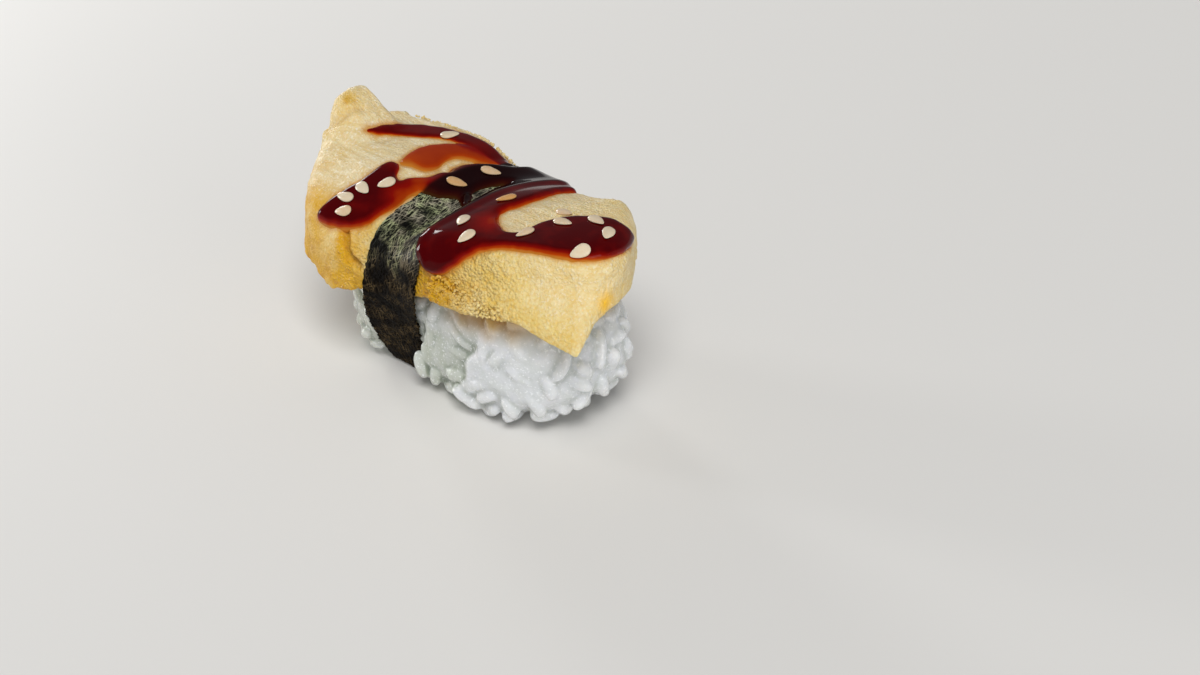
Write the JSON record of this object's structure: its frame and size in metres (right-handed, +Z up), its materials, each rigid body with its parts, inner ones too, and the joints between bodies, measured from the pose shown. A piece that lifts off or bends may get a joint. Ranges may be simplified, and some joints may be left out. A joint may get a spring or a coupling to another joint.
{
  "type": "tamago nigiri",
  "caption": "Tamago nigiri: a pillow of rice with a thick slab of rolled omelette tied on by a nori band, with drips of dark sauce and sesame seeds.",
  "frame": {"origin": "on the surface it stands on, below the middle of its bounding box", "axes": "+X along the length of the omelette slab, towards its drooping corner, -Y towards the side with the low hem, +Z up"},
  "size_m": [0.0704, 0.035, 0.0389],
  "materials": {
    "rice": "moist cooked white rice, slightly translucent",
    "tamago": "fine-pored rolled omelette, cream above and browned yellow at the sides, with glossy dark red-brown sauce and pale sesame seeds on it",
    "nori": "damp dark green roasted seaweed with a fibrous sheen, glossy near-black sauce and sesame seeds on its top"
  },
  "bodies": {
    "root": {"rice": "rice", "tamago": "tamago", "nori": "nori"}
  },
  "joints": []
}
